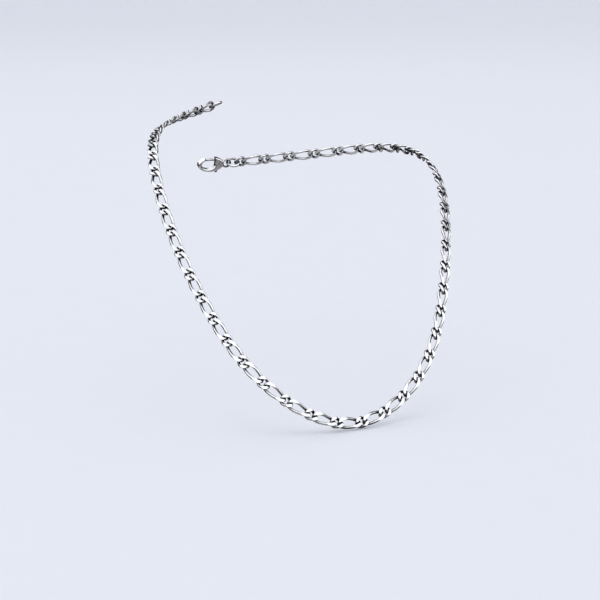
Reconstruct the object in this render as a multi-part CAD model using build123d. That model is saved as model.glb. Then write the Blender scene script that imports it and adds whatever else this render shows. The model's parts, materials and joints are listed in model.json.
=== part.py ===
from build123d import *
import os
from math import atan, atan2, cos, degrees, radians, sin, tan

os.makedirs("parts", exist_ok=True)

# Chain: long and short flat-curb links in turn, all of one wire.
WIRE = 1.05
LINK_WIDTH = 4.2
LONG_LENGTH = 9.5
SHORT_LENGTH = 5.3
LONG_TWIST = -45.0
SHORT_TWIST = -48.0
LONG_RAIL_REACH = 1.6
SHORT_RAIL_REACH = 0.5
FLAT_THICKNESS = 1.7
PLAY = 0.2
PAIRS = 47
FRONT_PAIR = 23

# Rings at the two ends, of the same wire.
RING_OUTSIDE = 5.8
END_RING_TILT = 135.0
CLASP_RING_TILT = 72.0

# Lobster clasp, drawn flat: x from the eye to the nose, y across it.
CLASP_THICKNESS = 2.6
EYE_X = 0.45
EYE_RADIUS = 2.0
EYE_HOLE_RADIUS = 1.3
EYE_THICKNESS = 1.0
SHANK_LENGTH = 4.0
SHANK_WIDTH = 2.2
CLAW_X = 7.3
CLAW_HALF_LENGTH = 5.4
CLAW_HALF_WIDTH = 3.1
CLAW_ROUND = 0.7
MOUTH_X = 8.3
MOUTH_HALF_LENGTH = 2.9
MOUTH_HALF_WIDTH = 1.85
GATE_START = 5.5
GATE_END = 10.0
GATE_FLOOR = 0.3
SLOT_START = 3.0
SLOT_END = 5.6
SLOT_THICKNESS = 1.3
CUT_DEPTH = 8.0

# Pin through both cheeks of the clasp, with a flat head on each face.
PIN_X = 4.3
PIN_Y = 0.3
PIN_DIAMETER = 0.7
PIN_FIT = 0.02
PIN_HEAD_DIAMETER = 1.2
PIN_HEAD_HEIGHT = 0.2

# Lever: a hub on the pin, an arm across the mouth and a nub for the thumbnail.
LEVER_THICKNESS = 1.1
LEVER_BORE = 0.8
LEVER_HUB_RADIUS = 0.85
LEVER_WIDTH = 0.9
LEVER_KNEE = (5.9, 1.9)
LEVER_TIP = (9.35, 1.9)
NUB_END = (4.9, -3.1)
NUB_RADIUS = 0.6

# Leaf spring standing in the slot behind the lever.
SPRING_FOOT = (3.14, 1.2)
SPRING_TIP = (3.14, -0.8)
SPRING_WIDTH = 0.2
SPRING_HEIGHT = 1.0

# Path of the chain as worn, from the left end at the nape round the front to the
# right end: x, y (back is +y), z, and how far the broad face leans up in degrees.
DRAPE = (
    (4.0, 80.0, 41.0, 20.0),
    (-26.0, 54.5, 37.5, 55.0),
    (-44.5, 19.0, 31.0, 75.0),
    (-50.0, -11.0, 12.0, 65.0),
    (-46.0, -44.5, -18.0, 50.0),
    (-33.5, -68.0, -41.0, 35.0),
    (-3.0, -71.5, -56.0, 25.0),
    (27.5, -61.0, -43.0, 35.0),
    (45.5, -41.5, -19.5, 42.0),
    (60.0, -13.0, 6.5, 45.0),
    (68.5, 33.0, 23.5, 38.0),
    (50.0, 76.0, 19.5, 20.0),
    (10.0, 87.0, 16.0, 15.0),
    (-14.0, 84.0, 16.0, 15.0),
)
NECK_AXIS = Vector(5.0, 8.0, 0.0)

drape = Spline(*[station[:3] for station in DRAPE])
lean_marks = [(drape.param_at_point(station[:3]), station[3]) for station in DRAPE]


def lean_at(place):
    """Lean of the broad face at a place along the path, between its stations."""
    for (start, first), (end, last) in zip(lean_marks, lean_marks[1:]):
        if place <= end:
            return first + (last - first) * (place - start) / (end - start)
    return lean_marks[-1][1]


def next_place(place, advance):
    """Place further along the path at a straight distance of advance."""
    origin = drape @ place
    near = place
    far = min(1.0, place + 2 * advance / drape.length)
    while far - near > 1e-9:
        middle = (near + far) / 2
        if (drape @ middle - origin).length < advance:
            near = middle
        else:
            far = middle
    return near


def seat(start, end):
    """Plane between two places: x along the chain, z out of its broad face."""
    first = drape @ start
    last = drape @ end
    middle = (first + last) / 2
    along = (last - first).normalized()
    outward = Vector(along.Y, -along.X, 0).normalized()
    if outward.dot(middle - NECK_AXIS) < 0:
        outward = -outward
    upward = along.cross(outward)
    if upward.Z < 0:
        upward = -upward
    lean = radians(lean_at((start + end) / 2))
    return Plane(origin=middle, x_dir=along, z_dir=outward * cos(lean) + upward * sin(lean))


def lay_out(advances):
    """Seats of successive pieces along the path."""
    seats = []
    place = 0.0
    for advance in advances:
        end = next_place(place, advance)
        seats.append(seat(place, end))
        place = end
    return seats


def about_front_link(seats):
    """The same seats with the long link lowest at the front moved to the origin."""
    home = seats[2 * FRONT_PAIR - 1].origin
    return [Plane(origin=s.origin - home, x_dir=s.x_dir, z_dir=s.z_dir) for s in seats]


def rail_and_bend(start, start_way, end, end_way, reach):
    """Two arcs in one smooth run: reach is how far the first follows its start."""
    span = end - start
    turn = 2 * (span.dot(end_way) + reach * (1 - start_way.dot(end_way)))
    back = (span.dot(span) - 2 * reach * span.dot(start_way)) / turn
    first_corner = start + start_way * reach
    second_corner = end - end_way * back
    middle = (first_corner * back + second_corner * reach) / (reach + back)
    rail = TangentArc(start, middle, tangent=start_way)
    bend = TangentArc(middle, end, tangent=rail % 1)
    return rail + bend


def link(length, twist, reach):
    """Curb link: bowed rails, twisted round ends, both broad faces ground flat."""
    half_length = (length - WIRE) / 2
    half_width = (LINK_WIDTH - WIRE) / 2
    tilt = radians(twist)
    slope = atan(half_width * tan(tilt) / half_length)
    rail_middle = Vector(0, half_width, 0)
    along_rail = Vector(cos(slope), 0, sin(slope))
    end = Vector(half_length, 0, 0)
    round_end = Vector(0, -cos(tilt), -sin(tilt))
    path = rail_and_bend(rail_middle, along_rail, end, round_end, reach)
    section = Plane(origin=rail_middle, z_dir=along_rail) * Circle(WIRE / 2)
    quarter = sweep(section, path=path)
    half = quarter + quarter.rotate(Axis.X, 180)
    whole = half + half.rotate(Axis.Z, 180)
    return whole & Box(2 * length, 2 * LINK_WIDTH, FLAT_THICKNESS)


def ring(tilt):
    """Closed ring whose plane holds the x axis and is tilted about it."""
    return Rot(tilt, 0, 0) * Torus((RING_OUTSIDE - WIRE) / 2, WIRE / 2)


def slab(face, thickness):
    """Flat piece centred on z = 0."""
    return extrude(face, amount=thickness / 2, both=True)


def bar(start, end, width):
    """Flat round-ended strip between two points."""
    first = Vector(*start)
    last = Vector(*end)
    run = last - first
    angle = degrees(atan2(run.Y, run.X))
    middle = (first + last) / 2
    return Pos(middle.X, middle.Y) * SlotCenterToCenter(run.length, width, rotation=angle)


def cut_block(x_start, x_end, y_start, thickness):
    """Block removed from one side of the clasp, from y_start outwards."""
    middle = Pos((x_start + x_end) / 2, y_start + CUT_DEPTH / 2, 0)
    return middle * Box(x_end - x_start, CUT_DEPTH, thickness)


def clasp_body():
    """Claw with its eye, open on the +y side where the lever closes it."""
    through = 2 * CLASP_THICKNESS
    eye = slab(Pos(EYE_X, 0) * Circle(EYE_RADIUS), EYE_THICKNESS)
    shank = slab(Pos(EYE_X + SHANK_LENGTH / 2, 0) * Rectangle(SHANK_LENGTH, SHANK_WIDTH), EYE_THICKNESS)
    claw = slab(Pos(CLAW_X, 0) * Ellipse(CLAW_HALF_LENGTH, CLAW_HALF_WIDTH), CLASP_THICKNESS)
    claw = fillet(claw.edges(), CLAW_ROUND)
    body = eye + shank + claw
    body -= slab(Pos(EYE_X, 0) * Circle(EYE_HOLE_RADIUS), through)
    body -= slab(Pos(MOUTH_X, 0) * Ellipse(MOUTH_HALF_LENGTH, MOUTH_HALF_WIDTH), through)
    body -= cut_block(GATE_START, GATE_END, GATE_FLOOR, through)
    body -= cut_block(SLOT_START, SLOT_END, -CUT_DEPTH / 2, SLOT_THICKNESS)
    body -= slab(Pos(PIN_X, PIN_Y) * Circle((PIN_DIAMETER + PIN_FIT) / 2), through)
    return body


def clasp_pin():
    """Headed pin the lever turns on."""
    shaft = slab(Circle(PIN_DIAMETER / 2), CLASP_THICKNESS)
    head = Cylinder(PIN_HEAD_DIAMETER / 2, PIN_HEAD_HEIGHT)
    lift = (CLASP_THICKNESS + PIN_HEAD_HEIGHT) / 2
    return Pos(PIN_X, PIN_Y, 0) * (shaft + Pos(0, 0, lift) * head + Pos(0, 0, -lift) * head)


def clasp_lever():
    """Lever that closes the mouth and is drawn back by its nub."""
    pivot = (PIN_X, PIN_Y)
    outline = Pos(*pivot) * Circle(LEVER_HUB_RADIUS)
    outline += bar(pivot, LEVER_KNEE, LEVER_WIDTH)
    outline += bar(LEVER_KNEE, LEVER_TIP, LEVER_WIDTH)
    outline += bar(pivot, NUB_END, LEVER_WIDTH)
    outline += Pos(*NUB_END) * Circle(NUB_RADIUS)
    outline -= Pos(*pivot) * Circle(LEVER_BORE / 2)
    return slab(outline, LEVER_THICKNESS)


def clasp_spring():
    """Leaf that keeps the lever closed."""
    return slab(bar(SPRING_FOOT, SPRING_TIP, SPRING_WIDTH), SPRING_HEIGHT)


def clasp_seat(ring_seat, nose):
    """Plane of the clasp: its origin on the ring's far wire, x towards its nose."""
    origin = ring_seat.origin + ring_seat.x_dir * ((RING_OUTSIDE - WIRE) / 2)
    return Plane(origin=origin, x_dir=nose - origin, z_dir=ring_seat.z_dir)


def chain_nodes(seats):
    """One node for each long link and the short link that follows it."""
    long_link = link(LONG_LENGTH, LONG_TWIST, LONG_RAIL_REACH)
    short_link = link(SHORT_LENGTH, SHORT_TWIST, SHORT_RAIL_REACH)
    nodes = {}
    for pair in range(PAIRS):
        first = seats[2 * pair] * long_link
        second = seats[2 * pair + 1] * short_link
        nodes[f"links_{pair + 1:02d}"] = Compound([first.solid(), second.solid()])
    return nodes


interlock = 2 * WIRE + PLAY
ring_advance = RING_OUTSIDE - interlock
pair_advances = [LONG_LENGTH - interlock, SHORT_LENGTH - interlock]
seats = about_front_link(lay_out([ring_advance] + pair_advances * PAIRS + [ring_advance, CLAW_X]))

claw_seat = clasp_seat(seats[-2], seats[-1].origin)
nodes = chain_nodes(seats[1:-2])
nodes["end_ring"] = seats[0] * ring(END_RING_TILT)
nodes["clasp_ring"] = seats[-2] * ring(CLASP_RING_TILT)
nodes["clasp_body"] = claw_seat * clasp_body()
nodes["clasp_pin"] = claw_seat * clasp_pin()
nodes["clasp_lever"] = claw_seat * clasp_lever()
nodes["clasp_spring"] = claw_seat * clasp_spring()

for name, shape in nodes.items():
    export_step(shape, f"parts/{name}.step")
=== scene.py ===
import json
import random
from math import cos, pi, radians, sin, tau

import bmesh
import bpy
import numpy as np
from mathutils import Matrix, Vector


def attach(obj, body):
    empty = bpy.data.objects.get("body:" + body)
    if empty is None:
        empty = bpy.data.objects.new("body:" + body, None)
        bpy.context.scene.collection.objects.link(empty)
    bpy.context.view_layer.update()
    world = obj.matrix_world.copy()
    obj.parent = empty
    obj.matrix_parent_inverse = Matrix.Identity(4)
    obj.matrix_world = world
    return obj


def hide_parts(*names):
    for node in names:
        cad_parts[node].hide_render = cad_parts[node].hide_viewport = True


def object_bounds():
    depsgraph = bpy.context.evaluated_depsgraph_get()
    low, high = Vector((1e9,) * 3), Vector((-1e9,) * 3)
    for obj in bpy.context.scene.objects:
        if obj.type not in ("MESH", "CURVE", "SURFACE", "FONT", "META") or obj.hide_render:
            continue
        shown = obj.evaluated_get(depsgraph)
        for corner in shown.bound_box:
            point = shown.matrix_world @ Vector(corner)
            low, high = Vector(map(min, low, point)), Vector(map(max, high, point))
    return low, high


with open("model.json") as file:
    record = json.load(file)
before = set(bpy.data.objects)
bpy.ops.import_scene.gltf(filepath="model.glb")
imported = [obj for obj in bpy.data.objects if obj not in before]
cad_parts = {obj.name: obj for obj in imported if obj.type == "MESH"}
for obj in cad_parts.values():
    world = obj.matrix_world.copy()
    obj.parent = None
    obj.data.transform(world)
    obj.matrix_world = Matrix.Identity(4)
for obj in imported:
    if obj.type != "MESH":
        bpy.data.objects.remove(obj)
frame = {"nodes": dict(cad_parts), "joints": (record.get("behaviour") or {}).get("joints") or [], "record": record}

CAD_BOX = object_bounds()
RECORD = frame["record"]
MM = 0.001

# Chain, in millimetres and degrees: the same values as the CAD links have. A reach is how
# far a rail runs from its middle before it bends. Seam stops are extra places along a rail
# that carry the filed weld.
WIRE = 1.05
LINK_WIDTH = 4.2
LONG_LENGTH = 9.5
SHORT_LENGTH = 5.3
LONG_TWIST = -45.0
SHORT_TWIST = -48.0
LONG_REACH = 1.6
SHORT_REACH = 0.5
FLAT_HALF = 0.85
FLAT_CROWN = 0.025
FLAT_EDGE = 0.03
SEAM_STOPS = (0.0, 0.05, 0.1, 0.16, 0.24)
SEAM_WIDTH = 0.07
SEAM_RISE = 0.03
RAIL_STEPS = 6
BEND_STEPS = 9
FLAT_POINTS = (-1.0, -0.93, -0.55, 0.0, 0.55, 0.93, 1.0)
SIDE_POINTS = (0.06, 0.28, 0.5, 0.72, 0.94)
LEAST_FLAT = radians(6)
SEAM_SIDE = 0.2
SAME_POINT = 1e-7

# Rings at the ends.
RING_OUTSIDE = 5.8
RING_STEPS = 120
RING_SIDES = 28

# Lobster clasp: x from the eye to the nose, y across, z through its thickness. The shank
# and the slot are a start, an end and a half width; the claw and its mouth are a middle,
# a half length and a half width; the gate is a start, an end and a floor.
EYE_X = 0.45
EYE_MIDDLE = 1.65
EYE_HALF_WIDTH = 0.35
EYE_HALF_THICKNESS = 0.5
EYE_HOLE = 1.3
SHANK = (0.75, 4.6, 0.95)
CLAW = (7.3, 5.4, 3.1)
CLAW_HALF_THICKNESS = 1.3
CLAW_EDGE = 0.62
MOUTH = (8.3, 2.9, 1.85)
GATE = (5.5, 10.0, 0.3)
SLOT = (3.0, 5.6, 0.65)
PIN = (4.3, 0.3)
PIN_RADIUS = 0.36
PIN_HEAD_RADIUS = 0.6
PIN_HEAD_HEIGHT = 0.2
LEVER_HALF_THICKNESS = 0.55
LEVER_HUB = 0.85
LEVER_BORE = 0.4
LEVER_HALF_WIDTH = 0.45
LEVER_KNEE = (5.9, 1.9)
LEVER_TIP = (9.35, 1.9)
NUB = (4.9, -3.1)
NUB_RADIUS = 0.6
SPRING = ((3.14, 1.2), (3.14, -0.8))
SPRING_HALF_WIDTH = 0.1
SPRING_HALF_HEIGHT = 0.5
FAR = 9.0
EYE_EDGE = 0.3
SLOT_EDGE = 0.02
LEVER_EDGE = 0.22
SPRING_EDGE = 0.06
CREASE = 0.12
EYE_CREASE = 0.15
SLOT_CREASE = 0.08
PIN_CREASE = 0.06
BORE_CREASE = 0.05
EYE_BLEND = 0.3
CLAW_BLEND = 0.9
KNEE_BLEND = 0.2
HUB_BLEND = 0.3
PIN_STEPS = 48
DOME_STEPS = 8
HEAD_RIM = 0.05
HEAD_LIP = 0.01
HEAD_UNDERCUT = 0.02
PIN_PLAY = 0.01

# Box of each cast shape, from corner to corner, and the size of its facets.
BODY_BOX = ((-1.8, -3.4, -1.5), (13.0, 3.4, 1.5), 0.07)
LEVER_BOX = ((3.2, -3.9, -0.7), (10.0, 2.6, 0.7), 0.05)
SPRING_BOX = ((2.9, -1.0, -0.6), (3.4, 1.4, 0.6), 0.03)
SETTLE_ROUNDS = 3
NUDGE = 1e-3
LEAST_SLOPE = 0.2
TINY = 1e-6

# Steel. A pattern is shifted from piece to piece by its shade, so that no two are alike.
# Each noise is a scale, a detail and a roughness.
PATTERN_SHIFT = (61.0, 37.0, 83.0)
WAVE_DEPTH = 0.09
GRAIN = (1.0, 6.0, 0.65)
CLOUD = (0.9, 4.0, 0.6)
SPECK = (14.0, 3.0, 0.7)
WAVE = (0.55, 1.0, 0.4)
CLOUD_RANGE = (0.3, 0.7)
GRAIN_RANGE = (0.35, 0.75)
SPECK_RANGE = (0.55, 0.8)
PIECE_TONES = (0.94, 1.04)
PATCH_TONES = (0.95, 1.04)
WARM = (1.03, 1.0, 0.96)
HOLLOW_REACH = 2.8
HOLLOW_SAMPLES = 6
# Painted shade: occlusion darkens the steel's colour in its hollows, raised to this power and spread over these
# tones.
PAINTED_SHADE_POWER = 4.6
PAINTED_SHADE_TONES = (0.0, 1.0)
HOLLOW_DULLNESS = (0.16, 0.0)
LEAST_ROUGHNESS = 0.03

# Each finish: colour, roughness, grain along x, y and z, depth of the grain, rubbing.
FINISHES = {
    "link_steel": ((0.86, 0.87, 0.89), 0.13, (3.0, 22.0, 22.0), 0.004, 0.05),
    "ring_steel": ((0.84, 0.85, 0.87), 0.14, (9.0, 9.0, 30.0), 0.004, 0.05),
    "clasp_steel": ((0.84, 0.85, 0.87), 0.15, (9.0, 9.0, 9.0), 0.010, 0.06),
    "lever_steel": ((0.82, 0.83, 0.85), 0.16, (4.0, 24.0, 24.0), 0.006, 0.06),
    "pin_steel": ((0.72, 0.73, 0.75), 0.24, (30.0, 30.0, 4.0), 0.006, 0.08),
    "spring_steel": ((0.62, 0.63, 0.65), 0.32, (40.0, 3.0, 40.0), 0.008, 0.08),
}

# Camera, in degrees and metres: azimuth 0 looks from the front, 90 from the wearer's left.
CAMERA_AZIMUTH = -22.08
CAMERA_ELEVATION = 10.72
CAMERA_ROLL = -0.37
CAMERA_DISTANCE = 0.9
CAMERA_AIM = (0.00824, 0.06525, 0.03173)
CAMERA_LENS = 145.1
CAMERA_SENSOR = 36.0
CAMERA_CLIP = (0.05, 20.0)

# Floor and lamps, in metres. A lamp is a name, a place from the middle, a size and a power.
FLOOR_RADIUS = 1.9
WALL_RADIUS = 1.1
FLOOR_GAP = 0.0002
FLOOR_RINGS = 6
CURVE_STEPS = 12
FLOOR_STEPS = 96
FLOOR_COLOUR = (0.86, 0.88, 0.93)
FLECK = (60.0, 4.0, 0.5)
FLECK_TONE = 0.985
FLOOR_ROUGHNESS = 0.9
LAMPS = (
    ("key", (-0.4, -0.5, 1.3), (1.2, 1.0), 2.4),
    ("back", (0.3, 1.1, 1.2), (1.2, 0.8), 2.0),
)

# Light from every side. The steel reflects a tent instead, given from straight down (0)
# through the horizon (0.5) to straight up (1).
SKY_LIGHT = 0.86
SKY_COLOUR = (0.94, 0.95, 1.0, 1)
LEVEL_TOP = 2.0
TENT = (
    (0.0, 0.50),
    (0.15, 0.45),
    (0.26, 0.10),
    (0.485, 0.08),
    (0.53, 1.10),
    (0.66, 1.50),
    (0.88, 1.45),
    (1.0, 1.1),
)
# Dark flags in the tent: azimuth, elevation, inner and outer radius in degrees, how dark.
FLAGS = (
    (158, -15, 40, 60, 0.94),
    (121, 38, 17, 28, 0.97),
    (-140, 4, 12, 26, 0.88),
)

draw = random.Random(7)


# ---------------------------------------------------------------- meshes

def unit(v):
    """Vectors of length one, for one vector or for rows of them."""
    v = np.asarray(v, float)
    return v / np.linalg.norm(v, axis=-1, keepdims=True)


def new_piece(name, points, faces, local, shade, material, body, nodes):
    """A smooth mesh piece that rides on a CAD body and stands for CAD nodes."""
    mesh = bpy.data.meshes.new(name)
    mesh.from_pydata(points.tolist(), [], faces)
    mesh.polygons.foreach_set("use_smooth", [True] * len(mesh.polygons))
    place = mesh.attributes.new("local_mm", "FLOAT_VECTOR", "POINT")
    place.data.foreach_set("vector", np.asarray(local, np.float32).ravel())
    tone = mesh.attributes.new("shade", "FLOAT", "POINT")
    tone.data.foreach_set("value", np.asarray(shade, np.float32))
    mesh.materials.append(material)
    mesh.update()
    piece = bpy.data.objects.new(name, mesh)
    bpy.context.scene.collection.objects.link(piece)
    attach(piece, body)
    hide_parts(*nodes)
    return piece


def tube_faces(rings, sides):
    """Quads of a closed tube of rings that joins up with its own start."""
    quads = []
    for i in range(rings):
        here = i * sides
        there = (i + 1) % rings * sides
        for j in range(sides):
            k = (j + 1) % sides
            quads.append((here + j, here + k, there + k, there + j))
    return quads


def place_points(local, seat):
    """Local millimetres to metres in the frame; seat is (origin, 3 axes as rows)."""
    origin, axes = seat
    return origin + (local * MM) @ axes


# ---------------------------------------------------------------- CAD seats

def solids_of(node):
    """Corner points and triangle weights of each separate solid of a CAD node."""
    work = bmesh.new()
    work.from_mesh(frame["nodes"][node].data)
    bmesh.ops.remove_doubles(work, verts=work.verts, dist=SAME_POINT)
    seen = set()
    solids = []
    for first in work.faces:
        if first in seen:
            continue
        seen.add(first)
        stack = [first]
        centres = []
        areas = []
        while stack:
            face = stack.pop()
            centres.append(face.calc_center_median()[:])
            areas.append(face.calc_area())
            for edge in face.edges:
                for other in edge.link_faces:
                    if other not in seen:
                        seen.add(other)
                        stack.append(other)
        solids.append((np.array(centres), np.array(areas)))
    work.free()
    return solids


def seat_of(solid, ahead, outward):
    """(origin, axes) of a solid: x its longest way, z its thinnest, x ahead, z outward."""
    centres, areas = solid
    origin = np.average(centres, axis=0, weights=areas)
    spread = np.cov((centres - origin).T, aweights=areas)
    vectors = np.linalg.eigh(spread)[1]
    x = vectors[:, 2]
    z = vectors[:, 0]
    if x @ ahead < 0:
        x = -x
    if z @ outward < 0:
        z = -z
    return origin, np.array([x, np.cross(z, x), z])


def middle_of(solid):
    """Centre of a solid by area."""
    return np.average(solid[0], axis=0, weights=solid[1])


# ---------------------------------------------------------------- links

def arc(start, way, end):
    """Function of 0..1 giving (point, way) on the arc that leaves start along way."""
    chord = end - start
    across = chord - way * (chord @ way)
    side = unit(across)
    turn = 2 * np.arctan2(chord @ side, chord @ way)
    radius = np.linalg.norm(chord) / (2 * np.sin(turn / 2))

    def at(t):
        angle = turn * t
        point = start + radius * (np.sin(angle) * way + (1 - np.cos(angle)) * side)
        return point, np.cos(angle) * way + np.sin(angle) * side

    return at, abs(radius * turn)


def quarter_path(length, width, twist, reach):
    """Points and ways of a quarter of a link's wire, from rail middle to link end."""
    half_length = (length - WIRE) / 2
    half_width = (width - WIRE) / 2
    tilt = radians(twist)
    start = np.array([0, half_width, 0])
    way = unit([half_length, 0, half_width * np.tan(tilt)])
    end = np.array([half_length, 0, 0])
    end_way = np.array([0, -cos(tilt), -sin(tilt)])
    span = end - start
    turn = 2 * (span @ end_way + reach * (1 - way @ end_way))
    back = (span @ span - 2 * reach * (span @ way)) / turn
    first_corner = start + way * reach
    second_corner = end - end_way * back
    joint = (first_corner * back + second_corner * reach) / (reach + back)
    rail, rail_length = arc(start, way, joint)
    joint_way = rail(1)[1]
    bend = arc(joint, joint_way, end)[0]
    stops = [stop / rail_length for stop in SEAM_STOPS if stop < rail_length / 2]
    rest = np.linspace(stops[-1], 1, RAIL_STEPS + 1)[1:-1]
    run = [rail(t) for t in list(stops) + list(rest)]
    run += [bend(t) for t in np.linspace(0, 1, BEND_STEPS + 1)]
    return np.array([p for p, w in run]), unit([w for p, w in run])


def link_path(length, width, twist, reach):
    """Points and ways once round the centre line of a link."""
    points, ways = quarter_path(length, width, twist, reach)
    over = np.array([1, -1, -1])
    half_points = np.vstack([points[:-1], points[::-1][:-1] * over])
    half_ways = np.vstack([ways[:-1], -ways[::-1][:-1] * over])
    round_z = np.array([-1, -1, 1])
    return (np.vstack([half_points, half_points * round_z]),
            np.vstack([half_ways, half_ways * round_z]))


def section_angles(top, bottom):
    """Angles round the wire, from up, with points kept on the edges of both flats."""
    side = pi - top - bottom
    angles = [top * u for u in FLAT_POINTS]
    angles += [top + side * u for u in SIDE_POINTS]
    angles += [pi + bottom * u for u in FLAT_POINTS]
    angles += [pi + bottom + side * u for u in SIDE_POINTS]
    return np.array(angles)


def soft_least(a, b, soft):
    """The lesser of a and b with the corner between them rounded."""
    h = np.clip(0.5 + 0.5 * (b - a) / soft, 0, 1)
    return b + (a - b) * h - soft * h * (1 - h)


def link_shape(length, width, twist, reach):
    """Corner points of one link in its own millimetres: rings of equal size."""
    points, ways = link_path(length, width, twist, reach)
    up = np.array([0, 0, 1.0])
    rings = []
    for centre, way in zip(points, ways):
        rise = unit(up - way * way[2])
        side = np.cross(way, rise)
        swell = 0.0
        if centre[1] > 0:
            swell = SEAM_RISE * np.exp(-(centre[0] / SEAM_WIDTH) ** 2)
        radius = WIRE / 2 + swell
        lift = rise[2]
        top_cut = (FLAT_HALF - centre[2]) / (radius * lift)
        low_cut = (FLAT_HALF + centre[2]) / (radius * lift)
        top = max(LEAST_FLAT, np.arccos(np.clip(top_cut, -1, 1)))
        low = max(LEAST_FLAT, np.arccos(np.clip(low_cut, -1, 1)))
        angles = section_angles(top, low)
        wide = radius * np.sin(angles)
        high = radius * np.cos(angles)
        ring = centre + np.outer(high, rise) + np.outer(wide, side)
        crown = FLAT_CROWN * (wide / radius) ** 2
        limit = FLAT_HALF - crown
        above = soft_least(ring[:, 2], limit, FLAT_EDGE)
        ring[:, 2] = -soft_least(-above, limit, FLAT_EDGE)
        rings.append(ring)
    shape = np.vstack(rings)
    shape[:, 1] = np.clip(shape[:, 1], -width / 2, width / 2)
    return shape, tube_faces(len(rings), len(rings[0]))


LONG_SHAPE = link_shape(LONG_LENGTH, LINK_WIDTH, LONG_TWIST, LONG_REACH)
SHORT_SHAPE = link_shape(SHORT_LENGTH, LINK_WIDTH, SHORT_TWIST, SHORT_REACH)


def build_links(material):
    """One piece for each CAD pair of links, a long one and the short one after it."""
    pairs = sorted(node for node in frame["nodes"] if node.startswith("links_"))
    centre = np.array((CAD_BOX[0] + CAD_BOX[1]) / 2)
    for node in pairs:
        solids = sorted(solids_of(node), key=lambda solid: -solid[1].sum())
        ahead = middle_of(solids[1]) - middle_of(solids[0])
        points = []
        local = []
        shade = []
        faces = []
        for solid, (shape, quads) in zip(solids, (LONG_SHAPE, SHORT_SHAPE)):
            seat = seat_of(solid, ahead, middle_of(solid) - centre)
            turned = shape * np.array(draw.choice(((1, 1, 1), (-1, -1, 1))))
            first = sum(len(p) for p in points)
            points.append(place_points(turned, seat))
            local.append(turned)
            shade.append(np.full(len(turned), draw.random()))
            faces += [tuple(first + i for i in quad) for quad in quads]
        number = node.split("_")[1]
        new_piece(
            f"link_pair_{number}", np.vstack(points), faces, np.vstack(local),
            np.hstack(shade), material, node, [node],
        )


# ---------------------------------------------------------------- rings

def build_ring(node, neighbour, material):
    """Closed ring with a filed solder joint on the side away from its neighbour."""
    solid = solids_of(node)[0]
    towards = middle_of(solids_of(neighbour)[0]) - middle_of(solid)
    origin, axes = seat_of(solid, towards, towards)
    normal = axes[2]
    away = unit(np.cross(normal, towards))
    seat = (origin, np.array([away, np.cross(normal, away), normal]))
    rings = []
    radius = (RING_OUTSIDE - WIRE) / 2
    for step in range(RING_STEPS):
        angle = tau * step / RING_STEPS
        turn = min(angle, tau - angle)
        swell = SEAM_RISE * np.exp(-(turn * radius / (2 * SEAM_WIDTH)) ** 2)
        out = np.array([cos(angle), sin(angle), 0])
        around = np.linspace(0, tau, RING_SIDES, endpoint=False)
        wire = WIRE / 2 + swell * (np.cos(around) < SEAM_SIDE)
        ring = np.outer(radius + wire * np.cos(around), out)
        ring[:, 2] += wire * np.sin(around)
        rings.append(ring)
    local = np.vstack(rings)
    new_piece(
        f"{node}_wire", place_points(local, seat), tube_faces(RING_STEPS, RING_SIDES),
        local, np.full(len(local), draw.random()), material, node, [node],
    )


# ---------------------------------------------------------------- clasp shapes

def either(a, b, soft):
    """Union of two distance fields with a rounded inner corner."""
    return soft_least(a, b, soft)


def both(a, b, soft):
    """What two distance fields share, with a rounded outer corner."""
    return -soft_least(-a, -b, soft)


def disc(x, y, middle, radius):
    """Distance field of a round."""
    return np.hypot(x - middle[0], y - middle[1]) - radius


def oval(x, y, middle_x, half_length, half_width):
    """Distance field of an oval on the x axis, near enough close to its edge."""
    u = np.hypot((x - middle_x) / half_length, y / half_width)
    v = np.hypot((x - middle_x) / half_length ** 2, y / half_width ** 2)
    return u * (u - 1) / np.maximum(v, TINY)


def block(x, y, low_x, high_x, low_y, high_y):
    """Distance field of a rectangle."""
    dx = np.abs(x - (low_x + high_x) / 2) - (high_x - low_x) / 2
    dy = np.abs(y - (low_y + high_y) / 2) - (high_y - low_y) / 2
    outside = np.hypot(np.maximum(dx, 0), np.maximum(dy, 0))
    return outside + np.minimum(np.maximum(dx, dy), 0)


def rod(x, y, start, end, radius):
    """Distance field of a straight bar with round ends."""
    run_x = end[0] - start[0]
    run_y = end[1] - start[1]
    t = ((x - start[0]) * run_x + (y - start[1]) * run_y) / (run_x ** 2 + run_y ** 2)
    t = np.clip(t, 0, 1)
    return np.hypot(x - start[0] - t * run_x, y - start[1] - t * run_y) - radius


def plate(outline, z, half_thickness, edge):
    """Outline given a thickness, with its edges rounded by edge."""
    a = outline + edge
    b = np.abs(z) - half_thickness + edge
    outside = np.hypot(np.maximum(a, 0), np.maximum(b, 0))
    return outside + np.minimum(np.maximum(a, b), 0) - edge


def body_field(x, y, z):
    """Cast clasp body: eye, shank and hollow claw with the slot for the lever."""
    eye_ring = np.abs(disc(x, y, (EYE_X, 0), EYE_MIDDLE)) - EYE_HALF_WIDTH
    eye = plate(eye_ring, z, EYE_HALF_THICKNESS, EYE_EDGE)
    shank_start, shank_end, shank_half = SHANK
    bar = block(x, y, EYE_X + shank_start, shank_end, -shank_half, shank_half)
    shank = plate(bar, z, EYE_HALF_THICKNESS, EYE_EDGE)
    hook = oval(x, y, *CLAW)
    hook = both(hook, -oval(x, y, *MOUTH), CREASE)
    gate_start, gate_end, gate_floor = GATE
    hook = both(hook, -block(x, y, gate_start, gate_end, gate_floor, FAR), CREASE)
    claw = plate(hook, z, CLAW_HALF_THICKNESS, CLAW_EDGE)
    whole = either(either(eye, shank, EYE_BLEND), claw, CLAW_BLEND)
    whole = both(whole, -disc(x, y, (EYE_X, 0), EYE_HOLE), EYE_CREASE)
    slot_start, slot_end, slot_half = SLOT
    slot = plate(block(x, y, slot_start, slot_end, -FAR, FAR), z, slot_half, SLOT_EDGE)
    whole = both(whole, -slot, SLOT_CREASE)
    return both(whole, -disc(x, y, PIN, PIN_RADIUS), PIN_CREASE)


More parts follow.
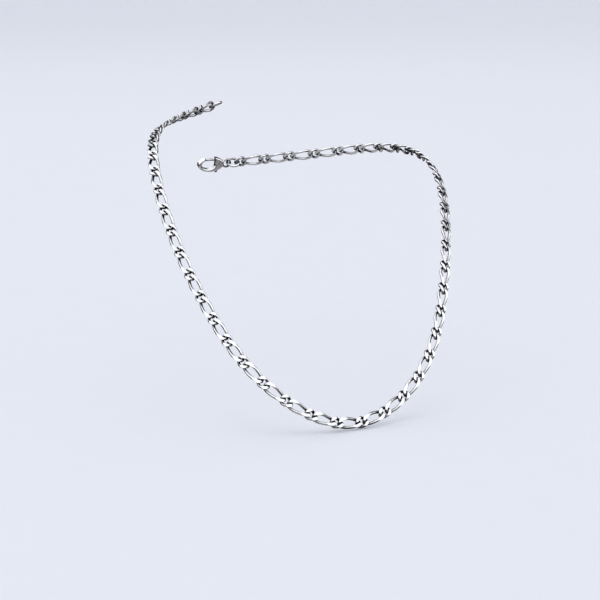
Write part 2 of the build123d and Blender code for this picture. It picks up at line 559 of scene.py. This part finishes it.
def lever_field(x, y, z):
    """Lever: hub, arm across the mouth and thumb nub."""
    root = rod(x, y, PIN, LEVER_KNEE, LEVER_HALF_WIDTH)
    reach = rod(x, y, LEVER_KNEE, LEVER_TIP, LEVER_HALF_WIDTH)
    arm = either(root, reach, KNEE_BLEND)
    stem = rod(x, y, PIN, NUB, LEVER_HALF_WIDTH)
    tail = either(stem, disc(x, y, NUB, NUB_RADIUS), HUB_BLEND)
    outline = either(arm, tail, HUB_BLEND)
    outline = either(outline, disc(x, y, PIN, LEVER_HUB), HUB_BLEND)
    outline = both(outline, -disc(x, y, PIN, LEVER_BORE), BORE_CREASE)
    return plate(outline, z, LEVER_HALF_THICKNESS, LEVER_EDGE)


def spring_field(x, y, z):
    """Flat leaf spring."""
    return plate(rod(x, y, *SPRING, SPRING_HALF_WIDTH), z, SPRING_HALF_HEIGHT, SPRING_EDGE)


def crossings(value):
    """Sum and count, for each grid cell, of the points where its edges cross the surface."""
    cells = tuple(n - 1 for n in value.shape)
    total = np.zeros(cells + (3,))
    count = np.zeros(cells)
    for axis in range(3):
        others = [a for a in range(3) if a != axis]
        near = np.moveaxis(value, axis, 0)[:-1]
        far = np.moveaxis(value, axis, 0)[1:]
        crossed = np.moveaxis((near < 0) != (far < 0), 0, axis)
        with np.errstate(divide="ignore", invalid="ignore"):
            part = np.moveaxis(near / (near - far), 0, axis)
        for shift in ((0, 0), (0, 1), (1, 0), (1, 1)):
            window = [slice(None)] * 3
            for a, s in zip(others, shift):
                window[a] = slice(s, s + cells[a])
            hit = crossed[tuple(window)]
            count += hit
            total[..., axis] += np.where(hit, part[tuple(window)], 0)
            for a, s in zip(others, shift):
                total[..., a] += hit * s
    return total, count


def skin_faces(inside, number):
    """A quad round each grid edge that crosses the surface, facing outwards."""
    cells = number.shape
    faces = []
    for axis in range(3):
        a = (axis + 1) % 3
        b = (axis + 2) % 3
        first = np.take(inside, range(0, cells[axis]), axis)
        second = np.take(inside, range(1, cells[axis] + 1), axis)
        for cell in np.argwhere(first != second):
            if cell[a] < 1 or cell[b] < 1 or cell[a] >= cells[a] or cell[b] >= cells[b]:
                continue
            corners = []
            for step_a, step_b in ((0, 0), (-1, 0), (-1, -1), (0, -1)):
                near = cell.copy()
                near[a] += step_a
                near[b] += step_b
                corners.append(int(number[tuple(near)]))
            if not inside[tuple(cell)]:
                corners.reverse()
            faces.append(tuple(corners))
    return faces


def settle(field, points):
    """Moves points onto the surface along the field's slope."""
    for _ in range(SETTLE_ROUNDS):
        value = field(*points.T)
        slope = np.stack([
            (field(*(points + NUDGE * way).T) - value) / NUDGE for way in np.eye(3)
        ], axis=-1)
        steep = np.maximum((slope ** 2).sum(-1), LEAST_SLOPE)
        points = points - (value / steep)[:, None] * slope
    return points


def skin(field, low, high, step):
    """Quad surface where a distance field is nought: one point to each crossed cell."""
    axes = [np.arange(a, b + step, step) for a, b in zip(low, high)]
    value = field(*np.meshgrid(*axes, indexing="ij"))
    total, count = crossings(value)
    used = count > 0
    number = np.full(count.shape, -1)
    number[used] = np.arange(used.sum())
    start = np.array([axis[0] for axis in axes])
    middle = total[used] / count[used][:, None]
    points = start + (np.argwhere(used) + middle) * step
    return settle(field, points), skin_faces(value < 0, number)


def clasp_seat():
    """(origin, axes) of the clasp, from the joint at its eye and the mount at its mouth."""
    turn = next(j for j in frame["joints"] if j["name"] == "clasp_turn")
    mouth = next(m for m in RECORD["mounts"] if m["name"] == "clasp_mouth")
    origin = np.array(turn["pos_m"])
    z = unit(mouth["axis"])
    ahead = np.array(mouth["pos_m"]) - origin
    x = unit(ahead - z * (ahead @ z))
    return origin, np.array([x, np.cross(z, x), z])


def lathe(profile, steps):
    """Points and faces of a (radius, height) profile turned about z, ends on the axis."""
    points = [(0, 0, profile[0][1])]
    for r, h in profile[1:-1]:
        for step in range(steps):
            angle = tau * step / steps
            points.append((r * cos(angle), r * sin(angle), h))
    points.append((0, 0, profile[-1][1]))
    faces = []
    last = len(points) - 1
    for step in range(steps):
        near = 1 + step
        far = 1 + (step + 1) % steps
        faces.append((0, far, near))
        for row in range(len(profile) - 3):
            a = row * steps
            faces.append((near + a, far + a, far + a + steps, near + a + steps))
        a = (len(profile) - 3) * steps
        faces.append((last, near + a, far + a))
    return np.array(points, float), faces


def pin_profile():
    """Riveted pin from its lower head to its upper head, each head a low dome."""
    half = CLAW_HALF_THICKNESS
    dome = []
    for step in range(DOME_STEPS + 1):
        angle = pi / 2 * step / DOME_STEPS
        rise = HEAD_RIM + (PIN_HEAD_HEIGHT - HEAD_RIM) * cos(angle)
        dome.append((PIN_HEAD_RADIUS * sin(angle), half + rise))
    dome.append((PIN_HEAD_RADIUS, half + HEAD_LIP))
    dome.append((PIN_HEAD_RADIUS - HEAD_UNDERCUT, half))
    dome.append((PIN_RADIUS - PIN_PLAY, half))
    upper = list(reversed(dome))
    lower = [(r, -h) for r, h in dome]
    return lower + upper


def build_cast(node, body, field, box, metal, slot, seat):
    """One clasp piece, skinned from its distance field."""
    low, high, step = box
    material = metal[slot]
    points, faces = skin(field, low, high, step)
    new_piece(
        f"{node}_cast", place_points(points, seat), faces, points,
        np.full(len(points), draw.random()), material, body, [node],
    )


def build_pin(material, seat):
    """The riveted pin, turned about its own axis."""
    local, faces = lathe(pin_profile(), PIN_STEPS)
    points = local + np.array([PIN[0], PIN[1], 0])
    new_piece(
        "clasp_pin_rivet", place_points(points, seat), faces, local,
        np.full(len(points), draw.random()), material, "clasp_body", ["clasp_pin"],
    )


def build_clasp(metal):
    """The four pieces of the lobster clasp."""
    seat = clasp_seat()
    build_cast("clasp_body", "clasp_body", body_field, BODY_BOX, metal, "clasp_steel", seat)
    build_cast("clasp_lever", "clasp_lever", lever_field, LEVER_BOX, metal, "lever_steel", seat)
    build_cast("clasp_spring", "clasp_body", spring_field, SPRING_BOX, metal, "spring_steel", seat)
    build_pin(metal["pin_steel"], seat)


# ---------------------------------------------------------------- materials

class Nodes:
    """Short way to make shader nodes and join them."""

    def __init__(self, tree):
        self.tree = tree
        self.tree.nodes.clear()

    def join(self, socket, value):
        """Feeds a socket from another node's output, or sets it to a plain value."""
        if isinstance(value, bpy.types.NodeSocket):
            self.tree.links.new(value, socket)
        else:
            socket.default_value = value

    def add(self, kind, **inputs):
        """New node. A key is a property, an input's name, or i and the input's number."""
        node = self.tree.nodes.new(kind)
        for key, value in inputs.items():
            if hasattr(node, key):
                setattr(node, key, value)
            elif key[0] == "i" and key[1:].isdigit():
                self.join(node.inputs[int(key[1:])], value)
            else:
                self.join(node.inputs[key.replace("_", " ")], value)
        return node

    def maths(self, operation, a, b):
        """One operation on two numbers."""
        return self.add("ShaderNodeMath", operation=operation, i0=a, i1=b).outputs[0]

    def vector(self, operation, a, b):
        """One operation on two vectors."""
        return self.add("ShaderNodeVectorMath", operation=operation, i0=a, i1=b).outputs

    def scaled(self, vector, amount):
        """A vector or a colour times a number."""
        node = self.add("ShaderNodeVectorMath", operation="SCALE", i0=vector, Scale=amount)
        return node.outputs[0]

    def spread(self, value, start, end):
        """A number moved from the range start to the range end, and kept inside it."""
        low, high = start
        to_low, to_high = end
        node = self.add(
            "ShaderNodeMapRange", Value=value, From_Min=low, From_Max=high,
            To_Min=to_low, To_Max=to_high,
        )
        return node.outputs[0]

    def attribute(self, name):
        """Node that reads a value stored on the mesh."""
        return self.add("ShaderNodeAttribute", attribute_name=name)

    def noise(self, where, scale, detail, roughness):
        """Cloudy pattern between 0 and 1."""
        node = self.add(
            "ShaderNodeTexNoise", Vector=where, Scale=scale, Detail=detail,
            Roughness=roughness,
        )
        return node.outputs["Fac"]

    def blend(self, share, none, whole):
        """One number that goes from none to whole as share goes from 0 to 1."""
        node = self.add("ShaderNodeMix", data_type="FLOAT", i0=share, i2=none, i3=whole)
        return node.outputs[0]

    def tint(self, share, none, whole):
        """One colour that goes from none to whole as share goes from 0 to 1."""
        node = self.add(
            "ShaderNodeMix", data_type="RGBA", i0=share, i6=(*none, 1), i7=(*whole, 1),
        )
        return node.outputs[2]

    def ramp(self, share, stops):
        """Number read off a row of (share, level) stops, with levels up to LEVEL_TOP."""
        node = self.add("ShaderNodeValToRGB", Fac=share)
        marks = node.color_ramp.elements
        while len(marks) < len(stops):
            marks.new(0.5)
        for mark, (place, level) in zip(marks, stops):
            grey = level / LEVEL_TOP
            mark.position = place
            mark.color = (grey, grey, grey, 1)
        return self.maths("MULTIPLY", node.outputs[0], LEVEL_TOP)


def new_material(name):
    """An empty material and the way to fill its nodes."""
    material = bpy.data.materials.new(name)
    material.use_nodes = True
    return material, Nodes(material.node_tree)


def steel_colour(n, colour, tone, cloud, openness):
    """Colour of the metal, varied by piece and by patch, with painted shade that darkens it in hollows."""
    # Painted shade: the colour is darkened where occlusion finds other steel close by.
    depth = n.maths("POWER", openness, PAINTED_SHADE_POWER)
    painted_shade = n.spread(depth, (0.0, 1.0), PAINTED_SHADE_TONES)
    piece = n.spread(tone, (0.0, 1.0), PIECE_TONES)
    patch = n.spread(cloud, CLOUD_RANGE, PATCH_TONES)
    level = n.maths("MULTIPLY", n.maths("MULTIPLY", painted_shade, piece), patch)
    warm = [part * change for part, change in zip(colour, WARM)]
    return n.scaled(n.tint(cloud, colour, warm), level)


def steel_roughness(n, roughness, rubbed, grain, speck, openness):
    """Roughness of the finish, varied by rubbing and wear, and dull in hollows."""
    rub = n.spread(grain, GRAIN_RANGE, (-rubbed, rubbed))
    wear = n.spread(speck, SPECK_RANGE, (0.0, rubbed))
    dull = n.spread(openness, (0.0, 1.0), HOLLOW_DULLNESS)
    rough = n.maths("ADD", n.maths("ADD", rub, roughness), n.maths("ADD", wear, dull))
    return n.maths("MAXIMUM", rough, LEAST_ROUGHNESS)


def steel(name, colour, roughness, grain_scale, grain_depth, rubbed):
    """Polished steel: tone by piece, painted shade in hollows, rubbing marks and fine scratches."""
    material, n = new_material(name)
    tone = n.attribute("shade").outputs["Fac"]
    place = n.attribute("local_mm").outputs["Vector"]
    local = n.vector("ADD", place, n.scaled(PATTERN_SHIFT, tone))[0]
    grain = n.noise(n.vector("MULTIPLY", local, grain_scale)[0], *GRAIN)
    cloud = n.noise(local, *CLOUD)
    speck = n.noise(local, *SPECK)
    wave = n.noise(local, *WAVE)
    reach = HOLLOW_REACH * MM
    hollow = n.add("ShaderNodeAmbientOcclusion", Distance=reach, samples=HOLLOW_SAMPLES)
    openness = hollow.outputs["AO"]
    swell = n.add("ShaderNodeBump", Strength=1.0, Distance=WAVE_DEPTH * MM, Height=wave)
    bump = n.add(
        "ShaderNodeBump", Strength=1.0, Distance=grain_depth * MM, Height=grain,
        Normal=swell.outputs[0],
    )
    shader = n.add(
        "ShaderNodeBsdfPrincipled", Metallic=1.0, Normal=bump.outputs[0],
        Base_Color=steel_colour(n, colour, tone, cloud, openness),
        Roughness=steel_roughness(n, roughness, rubbed, grain, speck, openness),
    )
    n.add("ShaderNodeOutputMaterial", Surface=shader.outputs[0])
    return material


def paper(name, colour):
    """Matt pale backdrop with a faint tooth."""
    material, n = new_material(name)
    where = n.add("ShaderNodeTexCoord").outputs["Object"]
    fleck = n.noise(where, *FLECK)
    low = [part * FLECK_TONE for part in colour]
    mix = n.tint(fleck, low, colour)
    shader = n.add("ShaderNodeBsdfPrincipled", Base_Color=mix, Roughness=FLOOR_ROUGHNESS)
    n.add("ShaderNodeOutputMaterial", Surface=shader.outputs[0])
    return material


# ---------------------------------------------------------------- studio

def heading(azimuth, elevation):
    """Direction from the middle: azimuth 0 is the front, 90 the wearer's left."""
    a = radians(azimuth)
    e = radians(elevation)
    return Vector((sin(a) * cos(e), -cos(a) * cos(e), sin(e)))


def build_camera():
    """Camera at the viewing angle, looking a little down from the wearer's right."""
    away = heading(CAMERA_AZIMUTH, CAMERA_ELEVATION)
    level = heading(CAMERA_AZIMUTH + 90, 0)
    rise = away.cross(level)
    roll = radians(CAMERA_ROLL)
    right = cos(roll) * level + sin(roll) * rise
    up = cos(roll) * rise - sin(roll) * level
    data = bpy.data.cameras.new("camera")
    data.lens = CAMERA_LENS
    data.sensor_width = CAMERA_SENSOR
    data.clip_start, data.clip_end = CAMERA_CLIP
    camera = bpy.data.objects.new("camera", data)
    pose = Matrix((right, up, away)).transposed().to_4x4()
    pose.translation = Vector(CAMERA_AIM) + away * CAMERA_DISTANCE
    camera.matrix_world = pose
    bpy.context.scene.collection.objects.link(camera)
    bpy.context.scene.camera = camera


def floor_profile():
    """(radius, height) from the middle of the floor to the top of its curved wall."""
    low = CAD_BOX[0].z - FLOOR_GAP
    profile = [(FLOOR_RADIUS * step / FLOOR_RINGS, low) for step in range(FLOOR_RINGS + 1)]
    for step in range(1, CURVE_STEPS + 1):
        angle = pi / 2 * step / CURVE_STEPS
        radius = FLOOR_RADIUS + WALL_RADIUS * sin(angle)
        profile.append((radius, low + WALL_RADIUS * (1 - cos(angle))))
    return profile


def build_floor(material):
    """Pale floor that curves up into a wall on every side."""
    profile = floor_profile()
    middle = (CAD_BOX[0] + CAD_BOX[1]) / 2
    points = []
    for radius, height in profile:
        for step in range(FLOOR_STEPS):
            angle = tau * step / FLOOR_STEPS
            x = middle.x + radius * cos(angle)
            y = middle.y + radius * sin(angle)
            points.append((x, y, height))
    faces = []
    for row in range(len(profile) - 1):
        for step in range(FLOOR_STEPS):
            far = (step + 1) % FLOOR_STEPS
            a = row * FLOOR_STEPS
            b = a + FLOOR_STEPS
            faces.append((a + step, a + far, b + far, b + step))
    mesh = bpy.data.meshes.new("floor")
    mesh.from_pydata(points, [], faces)
    mesh.polygons.foreach_set("use_smooth", [True] * len(mesh.polygons))
    mesh.materials.append(material)
    floor = bpy.data.objects.new("floor", mesh)
    floor.visible_glossy = False
    bpy.context.scene.collection.objects.link(floor)


def build_lamp(name, offset, size, power):
    """Rectangular soft lamp that faces the middle; the steel doesn't reflect it."""
    middle = (CAD_BOX[0] + CAD_BOX[1]) / 2
    data = bpy.data.lights.new(name, "AREA")
    data.shape = "RECTANGLE"
    data.size, data.size_y = size
    data.energy = power
    lamp = bpy.data.objects.new(name, data)
    lamp.location = middle + Vector(offset)
    lamp.rotation_mode = "QUATERNION"
    lamp.rotation_quaternion = (-Vector(offset)).to_track_quat("-Z", "Y")
    lamp.visible_camera = False
    lamp.visible_glossy = False
    bpy.context.scene.collection.objects.link(lamp)


def build_sky():
    """Even pale sky for the floor; in the steel's reflections, a white tent with dark flags."""
    world = bpy.data.worlds.new("sky")
    world.use_nodes = True
    n = Nodes(world.node_tree)
    way = n.add("ShaderNodeTexCoord").outputs["Generated"]
    height = n.add("ShaderNodeSeparateXYZ", Vector=way).outputs["Z"]
    total = n.ramp(n.spread(height, (-1.0, 1.0), (0.0, 1.0)), TENT)
    for azimuth, elevation, inner, outer, dark in FLAGS:
        match = n.vector("DOT_PRODUCT", way, heading(azimuth, elevation))["Value"]
        edges = (cos(radians(outer)), cos(radians(inner)))
        kept = n.spread(match, edges, (1.0, 1.0 - dark))
        total = n.maths("MULTIPLY", total, kept)
    ray = n.add("ShaderNodeLightPath").outputs["Is Glossy Ray"]
    strength = n.blend(ray, SKY_LIGHT, total)
    back = n.add("ShaderNodeBackground", Color=SKY_COLOUR, Strength=strength)
    n.add("ShaderNodeOutputWorld", Surface=back.outputs[0])
    bpy.context.scene.world = world
    bpy.context.scene.view_settings.view_transform = "Standard"


metal = {name: steel(name, *finish) for name, finish in FINISHES.items()}
build_links(metal["link_steel"])
build_ring("end_ring", "links_01", metal["ring_steel"])
build_ring("clasp_ring", "links_47", metal["ring_steel"])
build_clasp(metal)
build_floor(paper("pale_floor", FLOOR_COLOUR))
build_sky()
for lamp_setting in LAMPS:
    build_lamp(*lamp_setting)
build_camera()
